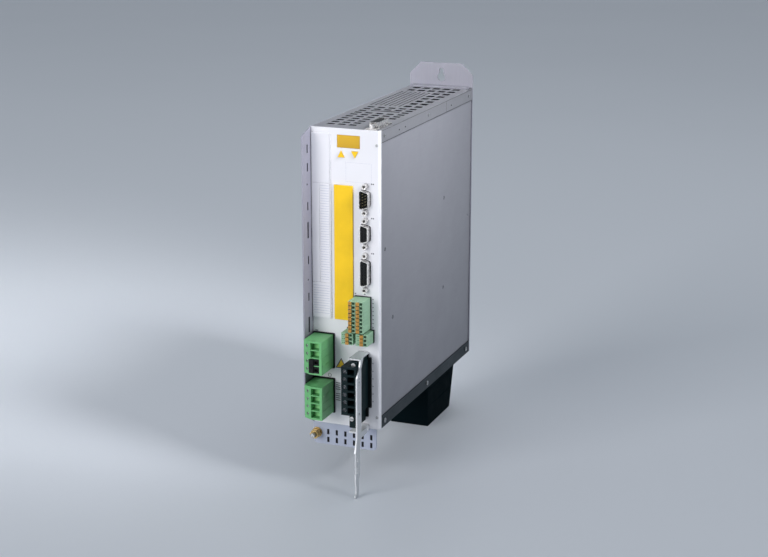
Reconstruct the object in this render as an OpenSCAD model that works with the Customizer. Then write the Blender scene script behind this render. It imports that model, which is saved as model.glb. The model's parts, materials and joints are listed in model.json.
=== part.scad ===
// Servo drive in a slim sheet-metal case for a control cabinet, 4-pole supply and
// link plugs, 6-pole motor plug, spring-clamp signal plugs and three D-sub sockets.
// Frame: front faces -Y, +Z up, origin on the back mounting plane, centred in the
// width and level with the underside of the case.

/* [Case] */
// Width of the case
case_w = 70; // [68:1:80]
// Depth of the case, front panel to back plate
case_d = 265; // [255:1:300]
// Height of the case without its lugs
case_h = 290; // [288:1:320]
// Thickness of the case sheets
sheet_t = 1.2; // [1:0.1:1.5]
// Height of the side turn-downs of the top cover and the bottom plate
turn_h = 12; // [8:1:14]
// How far the left side sheet stands out in front of the panel
flange_reach = 20; // [16:1:22]

/* [Mounting] */
// Height of the top lug above the case
lug_h = 25.5; // [22:0.5:30]
// Radius of the round hole of the keyhole
key_r = 4.5; // [4:0.1:4.8]
// Width of the narrow slot of the keyhole
key_slot_w = 5; // [4:0.1:5.5]
// Radius of the hole in the bottom lug
low_hole_r = 2.75; // [2.2:0.05:3.3]
// Height of the support foot under the case
foot_h = 58; // [50:1:60]

/* [Plugs] */
// Pole pitch of the supply, link and motor plugs
power_pitch = 7.62; // [7.5:0.01:7.7]
// Pole pitch of the signal plugs
signal_pitch = 3.81; // [3.7:0.01:3.85]
// How far the supply and link plugs stand out of the panel
power_reach = 29.5; // [28:0.5:34]
// How far the motor plug stands out of the panel
motor_reach = 32; // [30:1:33]
// How far the 8-pole signal plugs stand out of the panel
signal_reach = 19.5; // [17:0.5:21]
// How far the 3-pole plugs stand out of the panel
relay_reach = 17; // [15:0.5:18]

/* [Vents] */
// Size of a top vent slot across the case
vent_w = 7.5; // [5:0.5:8]
// Size of a front vent slot along the case
vent_l = 5.5; // [4:0.1:6]
// Size of a rear vent slot along the case
rear_vent_l = 8.5; // [6:0.1:9]
// Distance from one vent column or front vent row to the next
vent_pitch = 11.1; // [10.5:0.1:11.4]
// Distance from one rear vent row to the next
rear_vent_pitch = 16.2; // [15:0.1:16.4]
// Side of a square hole of the fine perforation
perf_a = 2.6; // [2:0.1:3]

/* [Hidden] */

$fn = 48;

// Case
panel_t = 1.5;
panel_edge_r = 2;
panel_return = 4;
back_t = 2;
seam = 0.1;
top_t = 1;
first_vent_x = 12.6;
front_vent_y = 20.5;
rear_vent_y = 135.5;
perf_pitch = 5;
skin_x = case_w - 1;
left_x = sheet_t + seam;

// Front features, measured from the left edge of the case and its underside
port_x = 56;
port_a_z = 225.3;
port_b_z = 192.8;
port_c_z = 155;
top_port_x = 60;
top_port_y = 22.5;
port_9_len = 16.9;
port_15_len = 25.2;
port_9_gap = 24.99;
port_15_gap = 33.32;
port_wide = 8.4;
port_wall = 0.5;
socket_less = 1;
socket_wide = 6.8;
socket_wall = 0.8;
port_reach = 6;
port_flange = 2.65;
contact_pitch = 2.77;
contact_row = 1.42;
jack_r = 1.42;
jack_af = 4.8;
jack_head = 5;

slot_box = [1.6, 106.5, 21, 285];
slot_line_low = 141;
slot_line_high = 237.3;
option_box = [24.2, 106.5, 43.3, 236.9];
window_box = [27.2, 272, 50.4, 284.2];
digit_w = 5.4;
digit_pitch = 7;

button_w = 6.6;
button_tall = 6.2;
button_z = 266.3;
up_x = 31.6;
down_x = 45.3;
button_proud = 0.9;
panel_screws = [[67, 12], [67, 276.5]];
rail_screw_xs = [15, 55];
rail_screw_y = 10;

// Headers and plugs: [x low, z low, x high, z high] of each header
header_proud = 1.8;
header_back = 13.5;
side_wall = 0.45;
plug_fit = 0.15;
nose_deep = 10;
pin_a = 1;
pin_len = 7;
groove = 0.3;

signal_box = [45, 100.3, 61.4, 131.8];
relay_box = [37, 87.1, 64.4, 99.7];
supply_box = [2, 57, 23.6, 91.8];
link_box = [2, 11.75, 23.6, 46.65];
motor_box = [42.5, 21.9, 61.5, 71.8];
motor_ear_boxes = [[50, 12.5, 58.5, 22], [50, 71.7, 58.5, 75]];

signal_w = 7.5;
signal_left_x = signal_box[0] + side_wall + plug_fit;
signal_right_x = signal_box[2] - side_wall - plug_fit - signal_w;
signal_z0 = (signal_box[1] + signal_box[3]) / 2 - 4 * signal_pitch;
signal_lever_at = 2.1;
signal_hole_at = 5.45;
relay_w = 11.6;
relay_left_x = relay_box[0] + side_wall + plug_fit;
relay_right_x = relay_box[2] - side_wall - plug_fit - relay_w;
relay_z0 = (relay_box[1] + relay_box[3]) / 2 - 1.5 * signal_pitch;
relay_lever_at = 6;
relay_hole_at = 9.5;
relay_test_at = [1.6, 3.3];
wire_w = 2.8;
wire_h = 2.5;
wire_deep = 4;

power_plug_x = 2.9;
power_plug_w = 19.7;
power_end = 1.15;
power_chamfer_x = 8;
power_chamfer_y = 4;
power_window_x = 11.1;
power_window_w = 8.9;
power_window_deep = 11;
power_web = 1;
power_screw_r = 1.5;
supply_z0 = (supply_box[1] + supply_box[3]) / 2 - 2 * power_pitch;
link_z0 = (link_box[1] + link_box[3]) / 2 - 2 * power_pitch;

motor_plug_x = 43.5;
motor_plug_w = 14.9;
motor_z0 = (motor_box[1] + motor_box[3]) / 2 - 3 * power_pitch;
motor_end = 1.15;
motor_screw_x = 46.9;
motor_screw_r = 1.9;
motor_window_x = 49.8;
motor_window_w = 7;
motor_window_h = 5.8;
motor_window_deep = 12;
motor_ear_reach = 27.6;
motor_ears = [[50, 9.4, 56, 24], [51, 70, 57.6, 74.7]];
motor_ear_screws = [[52.5, 18.4], [54.3, 71.7]];

lever_w = 3;
lever_h = 3.1;
lever_proud = 1.4;
lever_deep = 7;
lever_travel = 1.2;
lever_gap = 0.15;

// Shield bracket beside the motor plug
strip_x = 58.7;
strip_t = 1.5;
strip_front = 33;
strip_back = 22.4;
tab_z = 75.6;
tab_x = 47.8;
tab_low_z = 2.9;
tab_low_x = 48;
tab_reach = 24.5;
tip_reach = 38.1;

stud_x = 4.5;
stud_z = -10.8;
stud_r = 2.5;
stud_neck_r = 2.2;
stud_end = 3.2;
stud_front = 11.9;
nut_d = 9.2;
nut_t = 3.2;
screw_ys = [12, 130, 252];
case_screw_in = 6;
band_dots = [50, 66, 197];
press_marks = [[16, 175], [36, 103], [180, 190], [180, 95], [255, 155]];
rail_h = 22;
rail_x = 66.3;
rail_slot_w = 2.4;
rail_slot_h = 5.4;
rail_slot_x = 16;
rail_slot_pitch = 9;

// Inside
board_t = 1.6;
fan_a = 60;
fan_t = 25;
fan_x = 34;
fan_y = 178;
fan_z = 258;
fan_bore_r = 28.6;
fan_blade_r = 27.6;
fan_hub_r = 12;
fan_shaft_r = 1.5;
fan_shaft_fit = 0.03;

// ---- helpers ----

// Puts children drawn from the case's left edge and front plane into the part's frame
module placed() {
  translate([-case_w / 2, -case_d, 0]) children();
}

// Box from one corner to the opposite one
module block(a, b) {
  translate(a) cube(b - a);
}

// Upright plate on the front: b = [x low, z low, x high, z high], from y0 to y1
module front_box(b, y0, y1) {
  block([b[0], y0, b[1]], [b[2], y1, b[3]]);
}

// Round bar or hole along Y
module y_rod(r, x, z, y0, y1) {
  translate([x, y1, z]) rotate([90, 0, 0]) cylinder(r = r, h = y1 - y0);
}

// Small twelve-sided hole along Y, for wires, contacts and screwdrivers
module y_hole(r, x, z, y0, y1) {
  translate([x, y1, z]) rotate([90, 0, 0]) cylinder(r = r, h = y1 - y0, $fn = 12);
}

// Round bar or hole along X
module x_rod(r, y, z, x0, x1) {
  translate([x0, y, z]) rotate([0, 90, 0]) cylinder(r = r, h = x1 - x0);
}

// Round bar or hole along Z
module z_rod(r, x, y, z0, z1) {
  translate([x, y, z0]) cylinder(r = r, h = z1 - z0);
}

// Extrudes an outline drawn in X and Z along Y
module front_extrude(y0, y1) {
  translate([0, y1, 0]) rotate([90, 0, 0]) linear_extrude(height = y1 - y0) children();
}

// Extrudes an outline drawn in Y and Z along X
module side_extrude(x0, x1) {
  translate([x0, 0, 0]) rotate([90, 0, 90]) linear_extrude(height = x1 - x0) children();
}

// Points of an arc about c
function arc(c, r, a0, a1, n) =
  [for (i = [0:n]) c + r * [cos(a0 + (a1 - a0) * i / n), sin(a0 + (a1 - a0) * i / n)]];

// Outline of a D-shaped port standing on end, its long side to the left
function d_outline(len, wide, r) =
  let (slant = wide * tan(10) / 2, x = wide / 2 - r, zl = len / 2 - r, zr = len / 2 - r - 2 * slant)
  concat(arc([-x, -zl], r, 180, 270, 4), arc([x, -zr], r, 280, 360, 4),
         arc([x, zr], r, 0, 80, 4), arc([-x, zl], r, 90, 180, 4));

// Triangle with its point up (dir = 1) or down (dir = -1)
function tri(w, h, dir) = [[-w / 2, -dir * h / 2], [w / 2, -dir * h / 2], [0, dir * h / 2]];

function mid(b, i) = (b[i] + b[i + 2]) / 2;

// Screw with a round head and a cross slot, pointing along +Y from y
module y_screw(x, z, y, head_r, head_h, body_r, body_l) {
  difference() {
    union() {
      y_rod(head_r, x, z, y - head_h, y);
      y_rod(body_r, x, z, y, y + body_l);
    }
    block([x - head_r * 0.65, y - head_h - 1, z - 0.25], [x + head_r * 0.65, y - head_h * 0.45, z + 0.25]);
    block([x - 0.25, y - head_h - 1, z - head_r * 0.65], [x + 0.25, y - head_h * 0.45, z + head_r * 0.65]);
  }
}

// ---- case ----

module front_panel() {
  r = panel_edge_r;
  outline = concat([[left_x, panel_t], [left_x, 0]],
    arc([case_w - r, r], r, 270, 360, 6),
    [[case_w, panel_return], [case_w - panel_t, panel_return], [case_w - panel_t, panel_t]]);
  color("whitesmoke") placed() difference() {
    linear_extrude(height = case_h) polygon(outline);
    front_box([slot_box[0] + 2, slot_box[1] + 4, slot_box[2] - 2, slot_box[3] - 4], -1, panel_t + 1);
    front_box([option_box[0] + 2, option_box[1] + 4, option_box[2] - 2, option_box[3] - 4],
              -1, panel_t + 1);
    front_box(window_box, -1, panel_t + 1);
    for (b = concat([signal_box, relay_box, supply_box, link_box, motor_box], motor_ear_boxes))
      front_box([b[0] - seam, b[1] - seam, b[2] + seam, b[3] + seam], -1, panel_t + 1);
    front_box([signal_box[0], relay_box[3], signal_box[2], signal_box[1]], -1, panel_t + 1);
    for (s = [[up_x, 1], [down_x, -1]])
      translate([s[0], 0, button_z]) front_extrude(-1, panel_t + 1)
        polygon(tri(button_w + 0.5, button_tall + 0.5, s[1]));
    for (p = [[port_a_z, port_9_len, port_9_gap], [port_b_z, port_9_len, port_9_gap],
              [port_c_z, port_15_len, port_15_gap]]) {
      translate([port_x, 0, p[0]]) front_extrude(-1, panel_t + 1)
        polygon(d_outline(p[1] + 1.6, port_wide + 1.6, 2));
      for (s = [-1, 1]) y_rod(1.7, port_x, p[0] + s * p[2] / 2, -1, panel_t + 1);
    }
    for (p = panel_screws) y_rod(1.3, p[0], p[1], -1, panel_t + 1);
  }
}

module left_side() {
  color("slategray") placed() difference() {
    side_extrude(0, sheet_t)
      polygon([[0, 0], [case_d - back_t - seam, 0], [case_d - back_t - seam, case_h],
               [0, case_h], [-flange_reach, case_h - 6], [-flange_reach, 12]]);
    for (z = [125, 161, 213, 250, 267.5]) flange_slot(z + 3, 2.2, 8);
    for (z = [97.5, 190]) flange_slot(z + 3, 3, 15.5);
    for (z = [145, 237]) x_rod(1, -flange_reach / 2, z, -1, sheet_t + 1);
    for (y = screw_ys)
      for (z = [case_screw_in, case_h - case_screw_in]) x_rod(1.3, y, z, -1, sheet_t + 1);
  }
}

module flange_slot(z, w, h) {
  block([-1, -flange_reach * 0.45 - w / 2, z - h / 2], [sheet_t + 1, -flange_reach * 0.45 + w / 2, z + h / 2]);
}

module right_cover() {
  color("gray") placed() difference() {
    block([skin_x - 1.1, panel_return + seam, sheet_t + seam],
          [skin_x - seam, case_d - back_t - seam, case_h - 1.3]);
    for (p = press_marks) difference() {
      x_rod(1.6, p[0], p[1], skin_x - 0.5, skin_x + 1);
      x_rod(0.8, p[0], p[1], skin_x - 0.6, skin_x + 2);
    }
    for (y = screw_ys)
      for (z = [case_screw_in, case_h - case_screw_in]) x_rod(1.3, y, z, skin_x - 2, skin_x + 1);
  }
}

module top_cover() {
  top_x = case_w - seam;
  color("gray") placed() difference() {
    union() {
      block([left_x, panel_t + seam, case_h - top_t], [top_x, case_d - back_t - seam, case_h]);
      block([skin_x, panel_return + seam, case_h - turn_h],
            [top_x, case_d - back_t - seam, case_h - 0.5]);
    }
    corner_notch(case_h - top_t);
    for (i = [0:4]) {
      for (k = [0:9]) vent_slot(i, front_vent_y + vent_pitch * k, vent_l);
      for (k = [0:7]) vent_slot(i, rear_vent_y + rear_vent_pitch * k, rear_vent_l);
    }
    block([20.5, 99, case_h - 3], [50.5, 102.4, case_h + 1]);
    for (i = [0:6])
      for (k = [0:17])
        translate([7.5 + perf_pitch * i - perf_a / 2, 134 + perf_pitch * k - perf_a / 2, case_h - 3])
          cube([perf_a, perf_a, 5]);
    translate([top_port_x, top_port_y, case_h - 3]) linear_extrude(height = 5)
      polygon(d_outline(port_15_len + 1.4, port_wide + 1.4, 2));
    for (s = [-1, 1])
      z_rod(1.6, top_port_x, top_port_y + s * port_15_gap / 2, case_h - 3, case_h + 1);
    for (y = screw_ys) x_rod(1.3, y, case_h - case_screw_in, skin_x - 1, case_w + 1);
    for (y = band_dots) x_rod(0.8, y, case_h - 7, skin_x - 1, case_w + 1);
  }
}

// One vent slot of column i at depth y
module vent_slot(i, y, l) {
  x = first_vent_x + vent_pitch * i;
  if (vent_free(i, y)) block([x - vent_w / 2, y - l / 2, case_h - 3], [x + vent_w / 2, y + l / 2, case_h + 1]);
}

// Vent slots leave the long slot, the fine perforation and the top port free
function vent_free(i, y) =
  !(i < 3 && y > 126 && y < 228) && !(i > 0 && i < 4 && y > 92 && y < 104) && !(i > 2 && y < 62);

// Room for the right return of the front panel at the corner of a plate above z
module corner_notch(z) {
  block([case_w - panel_t - seam, 0, z - 1], [case_w + 1, panel_return + seam, z + sheet_t + 1]);
}

module bottom_plate() {
  top_x = case_w - seam;
  color("dimgray") placed() difference() {
    union() {
      block([left_x, panel_t + seam, 0], [top_x, case_d - back_t - seam, sheet_t]);
      block([skin_x, panel_return + seam, sheet_t - 0.2], [top_x, case_d - back_t - seam, turn_h]);
    }
    for (i = [0:5])
      for (k = [0:7]) translate([9 + 9 * i, 60 + 12 * k, -1]) cube([6, 3.4, 4]);
    corner_notch(0);
    for (y = screw_ys) x_rod(1.3, y, case_screw_in, skin_x - 1, case_w + 1);
    for (x = rail_screw_xs) z_rod(1.3, x, rail_screw_y, -1, sheet_t + 1);
  }
}

module back_plate() {
  c = 12;
  w = case_w;
  outline = [[0, 0], [w / 2 - 15, 0], [w / 2 - 15, -17], [w / 2 + 15, -17], [w / 2 + 15, 0],
             [w, 0], [w, case_h + lug_h - c], [w - c, case_h + lug_h],
             [c, case_h + lug_h], [0, case_h + lug_h - c]];
  color("lightsteelblue") placed() {
    difference() {
      front_extrude(case_d - back_t, case_d) polygon(outline);
      y_rod(key_r, w / 2, case_h + 10.6, case_d - back_t - 1, case_d + 1);
      block([w / 2 - key_slot_w / 2, case_d - back_t - 1, case_h + 10.6],
            [w / 2 + key_slot_w / 2, case_d + 1, case_h + 17.8]);
      y_rod(key_slot_w / 2, w / 2, case_h + 17.8, case_d - back_t - 1, case_d + 1);
      y_rod(low_hole_r, w / 2, -9, case_d - back_t - 1, case_d + 1);
    }
    block([3, case_d - back_t - 8, case_h], [w - 3, case_d - back_t, case_h + 1.2]);
  }
}

// ---- front covers, display and buttons ----

module slot_cover() {
  b = slot_box;
  g = 0.5;
  color("white") placed() difference() {
    front_box(b, -1.1, 0);
    block([b[0] + 1.2, -2, slot_line_high], [b[2] + 1, -0.7, slot_line_high + g]);
    block([9.4, -2, slot_line_low], [9.4 + g, -0.7, slot_line_high]);
    block([b[0] - 1, -2, slot_line_low], [b[2] - 1.2, -0.7, slot_line_low + g]);
    block([b[2] - 1.2, -2, b[1] - 1], [b[2] - 1.2 + g, -0.7, b[3] + 1]);
  }
}

module option_cover() {
  b = option_box;
  color("gold") placed() difference() {
    front_box(b, -1.3, 0);
    block([b[0] - 1, -2, b[1] + 25], [b[0] + 0.5, -0.8, b[3] + 1]);
  }
}

module display_window() {
  b = window_box;
  color("orange") placed() {
    front_box([b[0] + 0.15, b[1] + 0.15, b[2] - 0.15, b[3] - 0.15], 0.5, panel_t + 0.4);
    front_box([b[0] - 1, b[1] - 1, b[2] + 1, b[3] + 1], panel_t + 0.1, panel_t + 0.9);
  }
}

module display_module() {
  b = window_box;
  color("black") placed() difference() {
    front_box(b, panel_t + 1, 7);
    for (i = [-1:1]) let (x = mid(b, 0) + digit_pitch * i)
      front_box([x - digit_w / 2, b[1] + 2, x + digit_w / 2, b[3] - 2], panel_t, panel_t + 1.6);
  }
}

module display_board() {
  color("darkgreen") placed() difference() {
    front_box([23, 255, 56, 287], 7, 7 + board_t);
    for (x = [25.5, 53.5]) y_rod(1.2, x, 257.5, 6, 9);
  }
}

module press_button(x, dir) {
  color("khaki") placed() {
    translate([x, 0, button_z]) {
      front_extrude(-button_proud, panel_t + 0.6) polygon(tri(button_w, button_tall, dir));
      block([-4.2, panel_t + 0.3, -4], [4.2, panel_t + 1, 4]);
      y_rod(1.2, 0, 0, panel_t + 0.9, panel_t + 1.6);
    }
  }
}

module button_up() { press_button(up_x, 1); }

module button_down() { press_button(down_x, -1); }

module tact_switches() {
  color("dimgray") placed()
    for (x = [up_x, down_x]) translate([x, 0, button_z]) {
      block([-3, 4.6, -3], [3, 7, 3]);
      y_rod(1.5, 0, 0, panel_t + 2.4, 4.7);
    }
}

// ---- ports ----

// D-shaped port on the front at height z: sheet shell with its fixing flange
module port_shell(z, len, wide, wall, gap) {
  color("silver") placed() translate([port_x, 0, z]) {
    difference() {
      front_extrude(-port_reach, panel_t + 0.6)
        polygon(d_outline(len + 2 * wall, wide + 2 * wall, 1.9));
      front_extrude(-port_reach - 1, panel_t + 2) polygon(d_outline(len, wide, 1.5));
    }
    difference() {
      block([-6.2, panel_t + 0.1, -gap / 2 - port_flange], [6.2, panel_t + 0.9, gap / 2 + port_flange]);
      front_extrude(0, panel_t + 2) polygon(d_outline(len, wide, 1.5));
      for (s = [-1, 1]) y_rod(jack_r + 0.15, 0, s * gap / 2, 0, panel_t + 2);
    }
  }
}

// Contact carrier inside a port: face is where it ends, n the number of its contact holes
module port_insert(z, len, wide, n, face) {
  color("black") placed() translate([port_x, 0, z]) difference() {
    union() {
      front_extrude(face, panel_t + 1) polygon(d_outline(len - 0.3, wide - 0.3, 1.4));
      block([-5, panel_t + 0.95, -len / 2 - 1], [5, 9, len / 2 + 1]);
    }
    for (p = port_points(n)) y_hole(0.75, p[0], p[1], face - 1, face + 3.5);
  }
}

// Contact places of a two-row port with n contacts, long row to the left
function port_points(n) =
  let (long = ceil(n / 2), short = floor(n / 2))
  concat([for (i = [0:1:long - 1]) [-contact_row, (i - (long - 1) / 2) * contact_pitch]],
         [for (i = [0:1:short - 1]) [contact_row, (i - (short - 1) / 2) * contact_pitch]]);

module port_a_shell() { port_shell(port_a_z, port_9_len, port_wide, port_wall, port_9_gap); }

module port_b_shell() {
  port_shell(port_b_z, port_9_len - socket_less, socket_wide, socket_wall, port_9_gap);
}

module port_c_shell() {
  port_shell(port_c_z, port_15_len - socket_less, socket_wide, socket_wall, port_15_gap);
}

module port_a_insert() { port_insert(port_a_z, port_9_len, port_wide, 0, -0.8); }

module port_b_insert() {
  port_insert(port_b_z, port_9_len - socket_less, socket_wide, 9, 0.3 - port_reach);
}

module port_c_insert() {
  port_insert(port_c_z, port_15_len - socket_less, socket_wide, 15, 0.3 - port_reach);
}

// Upward port at the front of the top cover
module top_port() {
  placed() translate([top_port_x, top_port_y, case_h]) rotate([-90, 0, 0]) children();
}

module top_port_shell() {
  gap = port_15_gap;
  color("silver") top_port() {
    difference() {
      front_extrude(-port_reach, 0)
        polygon(d_outline(port_15_len + 2 * port_wall, port_wide + 2 * port_wall, 1.9));
      front_extrude(-port_reach - 1, 1) polygon(d_outline(port_15_len, port_wide, 1.5));
    }
    difference() {
      block([-5.8, -1, -gap / 2 - port_flange], [5.8, 0, gap / 2 + port_flange]);
      front_extrude(-2, 1) polygon(d_outline(port_15_len, port_wide, 1.5));
      for (s = [-1, 1]) y_rod(jack_r + 0.15, 0, s * gap / 2, -2, 1);
    }
  }
}

module top_port_insert() {
  color("black") top_port() difference() {
    front_extrude(0.3 - port_reach, 4) polygon(d_outline(port_15_len - 0.3, port_wide - 0.3, 1.4));
    for (p = port_points(15)) y_hole(0.75, p[0], p[1], -port_reach - 1, 4 - port_reach);
  }
}

module port_pins() {
  color("gold") placed() translate([port_x, 0, port_a_z])
    for (p = port_points(9)) y_rod(0.5, p[0], p[1], -port_reach + 0.8, -0.8);
}

// Hexagonal threaded post, its head towards -Y
module jack_post(head) {
  difference() {
    union() {
      rotate([90, 0, 0]) cylinder(d = jack_af / cos(30), h = head, $fn = 6);
      y_rod(jack_r, 0, 0, 0, panel_t + 3);
    }
    y_rod(jack_r, 0, 0, -head - 1, -0.5);
  }
}

module jack_posts() {
  color("silver") {
    placed()
      for (p = [[port_a_z, port_9_gap], [port_b_z, port_9_gap], [port_c_z, port_15_gap]])
        for (s = [-1, 1]) translate([port_x, 0, p[0] + s * p[1] / 2]) jack_post(jack_head);
    top_port()
      for (s = [-1, 1]) translate([0, -1, s * port_15_gap / 2]) jack_post(jack_head - 1);
  }
}

// ---- headers ----

// Space for the nose of a plug of width w and height h
function cavity(x, z0, w, h) = [x - plug_fit, z0 - plug_fit, x + w + plug_fit, z0 + h + plug_fit];

// Socket for plugs, its cavities open to the front
module header(b, cavities) {
  color([0.07, 0.07, 0.08]) placed() difference() {
    front_box(b, -header_proud, header_back);
    for (c = cavities) front_box(c, -header_proud - 1, nose_deep + 1);
  }
}

module signal_header() {
  header(signal_box, [for (x = [signal_left_x, signal_right_x])
                      cavity(x, signal_z0, signal_w, 8 * signal_pitch)]);
}

module relay_header() {
  header(relay_box, [for (x = [relay_left_x, relay_right_x])
                     cavity(x, relay_z0, relay_w, 3 * signal_pitch)]);
}

// Header of a 4-pole power plug
module power_header(b, z0) {
  header(b, [cavity(power_plug_x, z0 - power_end, power_plug_w, 4 * power_pitch + 2 * power_end)]);
}

module supply_header() { power_header(supply_box, supply_z0); }

module link_header() { power_header(link_box, link_z0); }

module motor_header() {
  nose = cavity(motor_plug_x, motor_z0 - motor_end, motor_plug_w, 6 * power_pitch + 2 * motor_end);
  color([0.05, 0.08, 0.09]) placed() difference() {
    union() {
      front_box(motor_box, -header_proud, header_back);
      for (b = motor_ear_boxes) front_box(b, -header_proud, header_back);
    }
    front_box(nose, -header_proud - 1, nose_deep + 1);
    for (p = motor_ear_screws) y_rod(1.6, p[0], p[1], -header_proud - 1, 4);
  }
}

// Contact pins of one header row
module pin_row(x, z0, pitch, n) {
  for (i = [0:n - 1])
    translate([x - pin_a / 2, nose_deep + 1 - pin_len, z0 + pitch * (i + 0.5) - pin_a / 2])
      cube([pin_a, pin_len, pin_a]);
}

module header_pins() {
  color("silver") placed() {
    for (x = [signal_left_x, signal_right_x]) pin_row(x + signal_w / 2, signal_z0, signal_pitch, 8);
    for (x = [relay_left_x, relay_right_x]) pin_row(x + relay_w / 2, relay_z0, signal_pitch, 3);
    for (z = [supply_z0, link_z0]) pin_row(power_plug_x + power_plug_w / 2, z, power_pitch, 4);
    pin_row(motor_plug_x + motor_plug_w / 2, motor_z0, power_pitch, 6);
  }
}

// Slot for the pins, open at the rear end of a plug
module pin_slot(x, z0, pitch, n) {
  block([x - 1, nose_deep - pin_len, z0 + 0.6], [x + 1, nose_deep + 1, z0 + n * pitch - 0.6]);
}

// ---- signal plugs ----

// Spring-clamp plug with n poles; levers, wire holes and test holes are placed from its left
module clamp_plug(x, w, z0, n, reach, lever_at, hole_at, test_at) {
  color([0.55, 0.8, 0.62]) placed() difference() {
    front_box([x, z0, x + w, z0 + n * signal_pitch], -reach, nose_deep);
    pin_slot(x + w / 2, z0, signal_pitch, n);
    for (i = [0:n - 1]) translate([x, -reach, z0 + (i + 0.5) * signal_pitch]) {
      pocket(lever_at, lever_w + 2 * lever_gap, lever_h + 2 * lever_gap, lever_deep + lever_travel + 0.3);
      pocket(hole_at, wire_w, wire_h, wire_deep);
      for (t = test_at) pocket(t, 0.9, 0.9, 2);
    }
    for (i = [1:n - 1]) translate([0, 0, z0 + i * signal_pitch]) {
      block([x - 1, -reach - 1, -0.1], [x + w + 1, groove - reach, 0.1]);
      block([x + w - groove, -reach - 1, -0.1], [x + w + 1, -header_proud - 2, 0.1]);
    }
  }
}

// Rectangular pocket of width w, height h and depth d, centred at x
module pocket(x, w, h, d) {
  block([x - w / 2, -1, -h / 2], [x + w / 2, d, h / 2]);
}

// Row of push levers, each with a ribbed front end
module lever_row(x, z0, n, reach) {
  color("sandybrown") placed()
    for (i = [0:n - 1]) let (z = z0 + (i + 0.5) * signal_pitch) difference() {
      front_box([x - lever_w / 2, z - lever_h / 2, x + lever_w / 2, z + lever_h / 2],
                -reach - lever_proud, -reach + lever_deep);
      for (s = [-0.8, 0, 0.8])
        block([x + s - 0.15, -reach - lever_proud - 1, z - lever_h],
              [x + s + 0.15, -reach - lever_proud + 0.3, z + lever_h]);
    }
}

module signal_plug_left() {
  clamp_plug(signal_left_x, signal_w, signal_z0, 8, signal_reach,
             signal_lever_at, signal_hole_at, []);
}

module signal_plug_right() {
  clamp_plug(signal_right_x, signal_w, signal_z0, 8, signal_reach,
             signal_lever_at, signal_hole_at, []);
}

module signal_levers_left() {
  lever_row(signal_left_x + signal_lever_at, signal_z0, 8, signal_reach);
}

module signal_levers_right() {
  lever_row(signal_right_x + signal_lever_at, signal_z0, 8, signal_reach);
}

module relay_plug_left() {
  clamp_plug(relay_left_x, relay_w, relay_z0, 3, relay_reach,
             relay_lever_at, relay_hole_at, relay_test_at);
}

module relay_plug_right() {
  clamp_plug(relay_right_x, relay_w, relay_z0, 3, relay_reach,
             relay_lever_at, relay_hole_at, relay_test_at);
}

module relay_levers_left() {
  lever_row(relay_left_x + relay_lever_at, relay_z0, 3, relay_reach);
}

module relay_levers_right() {
  lever_row(relay_right_x + relay_lever_at, relay_z0, 3, relay_reach);
}

// ---- supply and link plugs ----

// Places children at each clamp screw, looking into the slanted face along +Y
module at_power_screws(z0) {
  cx = power_chamfer_x;
  cy = power_chamfer_y;
  for (i = [0:3])
    translate([power_plug_x + cx / 2, -power_reach + cy / 2, z0 + (i + 0.5) * power_pitch])
      rotate([0, 0, -atan(cy / cx)]) children();
}

// 4-pole screw plug with its left front corner cut off and four wire windows
module power_plug(z0) {
  x = power_plug_x;
  w = power_plug_w;
  y = -power_reach;
  color("mediumseagreen") placed() difference() {
    translate([0, 0, z0 - power_end]) linear_extrude(height = 4 * power_pitch + 2 * power_end)
      polygon([[x, nose_deep], [x, y + power_chamfer_y], [x + power_chamfer_x, y],
               [x + w, y], [x + w, nose_deep]]);
    pin_slot(x + w / 2, z0, power_pitch, 4);
    for (i = [0:3])
      front_box([power_window_x, z0 + i * power_pitch + power_web / 2,
                 power_window_x + power_window_w, z0 + (i + 1) * power_pitch - power_web / 2],
                y - 1, y + power_window_deep);
    at_power_screws(z0) y_hole(power_screw_r, 0, 0, -2, 3.2);
    for (i = [1:3])
      block([x + w - groove, y - 1, z0 + i * power_pitch - 0.15],
            [x + w + 1, -header_proud - 3, z0 + i * power_pitch + 0.15]);
  }
}

// Slotted clamp screws of a 4-pole plug
module power_screws(z0) {
  r = power_screw_r - 0.2;
  color("silver") placed() at_power_screws(z0) difference() {
    y_rod(r, 0, 0, 0.4, 3.2);
    block([-r - 1, 0, -0.25], [r + 1, 1, 0.25]);
  }
}

module supply_plug() { power_plug(supply_z0); }

module supply_clamps() { power_screws(supply_z0); }

module link_plug() { power_plug(link_z0); }

module link_clamps() { power_screws(link_z0); }

// Bridge with two legs in the lower two windows of the supply plug
module supply_bridge() {
  x0 = power_window_x + 0.25;
  x1 = power_window_x + power_window_w - 0.25;
  y = -power_reach;
  leg = 2.9;
  color([0.04, 0.05, 0.05]) placed() translate([0, 0, supply_z0]) difference() {
    union() {
      for (z = [0.5, 1.5] * power_pitch) front_box([x0, z - leg, x1, z + leg], y - 0.1, y + 8);
      front_box([x0 - 1.4, 0.9, x0 + 3, 2 * power_pitch - 0.9], y - 1.6, y - 0.05);
    }
    for (z = [0.5, 1.5] * power_pitch) front_box([x0 + 4, z - 1.6, x1 - 0.8, z + 1.2], y - 1, y + 3);
    front_box([x0 + 1, power_pitch - 2, x0 + 2.4, power_pitch + 2], y - 2.6, y - 1);
  }
}

// ---- motor plug ----

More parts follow.
